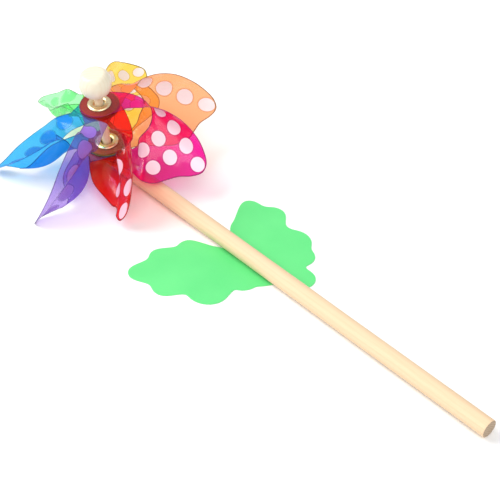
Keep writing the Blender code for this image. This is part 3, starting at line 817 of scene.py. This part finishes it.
def flat_pattern(rows, passes=400):
    """The sheet laid flat: points in the plane that keep the lengths of the grid's sides and diagonals."""
    count, cells = rows.shape[:2]
    index = np.arange(count * cells).reshape(count, cells)
    links = [(index[:-1], index[1:]), (index[:, :-1], index[:, 1:]),
             (index[:-1, :-1], index[1:, 1:]), (index[1:, :-1], index[:-1, 1:])]
    first = np.concatenate([a.ravel() for a, _ in links])
    second = np.concatenate([b.ravel() for _, b in links])
    points = rows.reshape(-1, 3)
    lengths = np.linalg.norm(points[first] - points[second], axis=1)
    laplace = np.zeros((len(points), len(points)))
    np.add.at(laplace, (first, first), 1.0)
    np.add.at(laplace, (second, second), 1.0)
    np.add.at(laplace, (first, second), -1.0)
    np.add.at(laplace, (second, first), -1.0)
    solve = np.linalg.pinv(laplace)
    middles = rows.mean(axis=1)
    along = np.concatenate([[0.0], np.cumsum(np.linalg.norm(np.diff(middles, axis=0), axis=1))])
    widths = np.linalg.norm(rows[:, -1] - rows[:, 0], axis=1)
    shares = np.linspace(-0.5, 0.5, cells)
    flat = np.stack([np.repeat(along[:, None], cells, 1), widths[:, None] * shares[None]], -1).reshape(-1, 2)
    for _ in range(passes):
        gaps = flat[first] - flat[second]
        pull = gaps * (lengths / np.maximum(np.linalg.norm(gaps, axis=1), 1e-9))[:, None]
        target = np.zeros_like(flat)
        np.add.at(target, first, pull)
        np.add.at(target, second, -pull)
        flat = solve @ target
    return flat.reshape(count, cells, 2)


def stack_offset(point, place, back):
    """How far a point stands from its stack's middle, fading out beyond the tab."""
    middle = 0.5 * (len(VANES) - 1)
    order = (middle - place) if back else (place - middle)
    radius = float(np.hypot(point[0], point[1]))
    fade = 1.0 - smooth_step((radius - PLATEAU_RADIUS) / (FADE_RADIUS - PLATEAU_RADIUS))
    return order * TAB_PITCH * fade


def add_tab(bm, edge, heading, level, border_layer, tab_layer):
    """Closes a strip's end into a round tab with a hole."""
    half = len(edge) - 1
    outer_ring = list(edge)
    for i in range(1, half):
        turn = radians(heading - 90.0 - 180.0 * i / half)
        vertex = bm.verts.new((TAB_RADIUS * cos(turn), TAB_RADIUS * sin(turn), level))
        vertex[border_layer] = 1.0
        outer_ring.append(vertex)
    rings = [outer_ring]
    for share in TAB_RINGS:
        radius = TAB_RADIUS + (TAB_HOLE_RADIUS - TAB_RADIUS) * share
        turns = [radians(heading + 90.0 - 180.0 * i / half) for i in range(2 * half)]
        rings.append([bm.verts.new((radius * cos(t), radius * sin(t), level)) for t in turns])
    for outer, inner in zip(rings, rings[1:]):
        ring_faces(bm, outer, inner)
    for ring in rings:
        for vertex in ring:
            vertex[tab_layer] = 1.0


def grid_place(spot):
    """A point of the flat pattern in steps of the dots' grid, with a dot at the middle of each cell."""
    steps = np.array([DOT_STEP_ALONG, DOT_STEP_ACROSS]).T
    return np.linalg.solve(steps, np.array(spot) - np.array(DOT_ORIGIN)) + 0.5


def vane_rows(place, bend):
    """Fine rows of a sheet's middle surface, with its tabs at their place in the stacks."""
    rows = refined(coarse_rows(*bend))
    halfway = len(rows) // 2
    for index, row in enumerate(rows):
        for point in row:
            point[2] += stack_offset(point, place, back=index > halfway)
    return rows


def set_flat_places(bm, spots, flat_layer, grid_layer):
    """Gives each corner its place in the flat pattern and in the grid of dots."""
    for face in bm.faces:
        for loop in face.loops:
            spot = spots.get(loop.vert)
            loop[flat_layer].uv = spot if spot is not None else loop.vert.co.xy
            loop[grid_layer].uv = grid_place(loop[flat_layer].uv)


def thicken(vane):
    """Gives the sheet its thickness, with its own look on each face and on the cut edge."""
    solid = vane.modifiers.new("solid", "SOLIDIFY")
    solid.thickness = SHEET_THICKNESS
    solid.offset = 0.0
    solid.material_offset = 1
    solid.material_offset_rim = 2
    apply_modifiers(vane)
    vane.data.shade_smooth()
    vane.data.set_sharp_from_angle(angle=radians(50))


def make_vane(place, name, angle, bend, pattern, dots, materials):
    """One sheet: its strip, a tab at each end, the print and the cut edges."""
    rows = vane_rows(place, bend)
    bm = bmesh.new()
    flat_layer = bm.loops.layers.uv.new("Flat")
    grid_layer = bm.loops.layers.uv.new("Print")
    print_layer = bm.verts.layers.float.new("printed")
    border_layer = bm.verts.layers.float.new("border")
    tab_layer = bm.verts.layers.float.new("tab")
    grid = [[bm.verts.new(point) for point in row] for row in rows]
    where = {}
    for row, spots in zip(grid, pattern):
        row[0][border_layer] = 1.0
        row[-1][border_layer] = 1.0
        for vertex, spot in zip(row, spots):
            vertex[print_layer] = float(tuple(floor(step) for step in grid_place(spot)) in dots)
            where[vertex] = spot
    for near, far in zip(grid, grid[1:]):
        for i in range(len(near) - 1):
            bm.faces.new((near[i], near[i + 1], far[i + 1], far[i]))
    add_tab(bm, grid[0], FRONT_TAB_HEADING, rows[0][0][2], border_layer, tab_layer)
    add_tab(bm, grid[-1], BACK_TAB_HEADING, rows[-1][0][2], border_layer, tab_layer)
    set_flat_places(bm, where, flat_layer, grid_layer)
    spun = LYING @ Matrix.Rotation(radians(angle), 4, "Z")
    vane = mesh_object(name + "_sheet", bm, materials, place=spun)
    thicken(vane)
    stands_for(vane, name, "wheel")


def make_vanes():
    pattern = refined(flat_pattern(coarse_rows(*PLAIN_BEND)))
    for place, (name, angle, *bend) in enumerate(VANES):
        tint, body, ink, dots_outside, dots = SHEETS[name]
        faces = [printed_face(name + "_printed", body, ink), clear_face(name + "_clear", tint, body)]
        if dots_outside:
            faces.reverse()
        make_vane(place, name, angle, bend, pattern, dots, faces + [cut_edge(name + "_edge", body)])


# --- leaf --------------------------------------------------------------------------------------------------

def leaf_outline():
    """The outer envelope of the lobes, with softened notches, in metres from the axle."""
    outline = []
    for i in range(LEAF_POINTS_AROUND):
        turn = 2 * pi * i / LEAF_POINTS_AROUND
        ahead = np.array([cos(turn), sin(turn)])
        reach = 0.0
        for x, y, radius in LEAF_LOBES:
            centre = np.array([x - LEAF_CENTRE[0], y - LEAF_CENTRE[1]])
            along = centre @ ahead
            off_axis = centre @ centre - along ** 2
            if off_axis < radius ** 2:
                reach = max(reach, along + (radius ** 2 - off_axis) ** 0.5)
        outline.append((np.array(LEAF_CENTRE) + ahead * reach) * MM)
    outline = np.array(outline)
    for _ in range(LEAF_SMOOTHING):
        outline = 0.5 * outline + 0.25 * (np.roll(outline, 1, axis=0) + np.roll(outline, -1, axis=0))
    return outline


def leaf_ring(bm, spots, height):
    return [bm.verts.new((x, y, height)) for x, y in spots]


def make_leaf():
    outline = leaf_outline()
    inward = np.array(LEAF_CENTRE) * MM - outline
    unit = inward / np.linalg.norm(inward, axis=1)[:, None]
    rounding = LEAF_EDGE_ROUNDING
    levels = [(0.0, rounding), (rounding, 0.0), (LEAF_THICKNESS - rounding, 0.0), (LEAF_THICKNESS, rounding)]
    bm = bmesh.new()
    rings = [leaf_ring(bm, outline + unit * inset, height) for height, inset in levels]
    for low, high in zip(rings, rings[1:]):
        ring_faces(bm, low, high)
    for ring, height in ((rings[0], 0.0), (rings[-1], LEAF_THICKNESS)):
        for share in LEAF_RINGS:
            inner = leaf_ring(bm, outline + inward * share, height)
            ring_faces(bm, ring, inner)
            ring = inner
        bm.faces.new(ring)
    green = leaf_plastic("leaf_satin", (0.19, 0.90, 0.31), (0.15, 0.84, 0.27))
    place = Matrix.Translation((FOOT.x, FOOT.y, 0.0))
    leaf = mesh_object("leaf_scalloped", bm, [green], smooth_angle=40, place=place)
    stands_for(leaf, "leaf_sheet", "root")


def make_pad():
    """A pressed bead of hot glue: rounded ends, flat faces and a slightly uneven edge."""
    bm = bmesh.new()
    base = LEAF_THICKNESS + PAD_GAP
    rings = []
    for size, height in PAD_RINGS:
        ring = []
        for i in range(PAD_SEGMENTS):
            turn = 2 * pi * i / PAD_SEGMENTS
            uneven = size * (0.97 + 0.02 * sin(5 * turn) + 0.01 * sin(9 * turn + 1.0))
            along = copysign(abs(cos(turn)) ** PAD_ROUNDNESS, cos(turn))
            across = copysign(abs(sin(turn)) ** PAD_ROUNDNESS, sin(turn))
            x = PAD_X + 0.5 * PAD_LENGTH * uneven * along
            y = 0.5 * PAD_WIDTH * uneven * across
            ring.append(bm.verts.new((x, y, base + PAD_THICKNESS * height)))
        rings.append(ring)
    for low, high in zip(rings, rings[1:]):
        ring_faces(bm, low, high)
    bm.faces.new(rings[0])
    bm.faces.new(rings[-1])
    place = Matrix.Translation((FOOT.x, FOOT.y, 0.0))
    mat = plain_plastic("hot_glue", (0.92, 0.92, 0.86), (0.84, 0.84, 0.76), roughness=0.35, scale=500.0)
    pad = mesh_object("leaf_glue_bead", bm, [mat], smooth_angle=50, place=place)
    stands_for(pad, "leaf_glue_pad", "root")


# --- studio ------------------------------------------------------------------------------------------------

def make_floor():
    bm = bmesh.new()
    bmesh.ops.create_grid(bm, x_segments=1, y_segments=1, size=FLOOR_HALF_SIZE)
    mat, _, shader, _ = new_material("floor_paper")
    shader.inputs["Base Color"].default_value = (*FLOOR_COLOUR, 1.0)
    shader.inputs["Roughness"].default_value = 0.9
    shader.inputs["Specular IOR Level"].default_value = 0.0
    floor = mesh_object("floor", bm, [mat], place=Matrix.Translation((0, 0, -FLOOR_DROP)))


def area_light(name, place, aim, size, watts):
    lamp = bpy.data.lights.new(name, "AREA")
    lamp.shape = "SQUARE"
    lamp.size = size
    lamp.energy = watts
    obj = bpy.data.objects.new(name, lamp)
    bpy.context.scene.collection.objects.link(obj)
    obj.location = place
    obj.rotation_euler = (Vector(aim) - Vector(place)).to_track_quat("-Z", "Y").to_euler()


def make_studio():
    world = bpy.data.worlds.new("studio")
    world.use_nodes = True
    sky = world.node_tree.nodes["Background"].inputs
    sky["Color"].default_value = (1.0, 1.0, 1.0, 1.0)
    sky["Strength"].default_value = SKY_STRENGTH
    bpy.context.scene.world = world
    for light in LIGHTS:
        area_light(*light)
    bpy.context.scene.view_settings.view_transform = "Standard"
    bpy.context.scene.cycles.transparent_max_bounces = 32


def make_camera():
    """The camera that takes the photo's view."""
    data = bpy.data.cameras.new("camera")
    data.lens = LENS
    data.sensor_width = SENSOR
    data.clip_start = 0.01
    data.clip_end = 50.0
    camera = bpy.data.objects.new("camera", data)
    bpy.context.scene.collection.objects.link(camera)
    place = FOOT + Vector(CAMERA_PLACE)
    aim = (FOOT + Vector(CAMERA_TARGET) - place).to_track_quat("-Z", "Y").to_matrix().to_4x4()
    camera.matrix_world = Matrix.Translation(place) @ aim @ Matrix.Rotation(radians(CAMERA_ROLL), 4, "Z")
    bpy.context.scene.camera = camera


make_camera()
make_studio()
make_floor()
make_stick()
make_axle()
make_bead()
make_spacer()
brass_metal = brass("brass_stamped")
make_eyelet("front", FRONT_STACK_LOW, brass_metal)
make_eyelet("back", BACK_STACK_LOW, brass_metal)
make_vanes()
make_leaf()
make_pad()
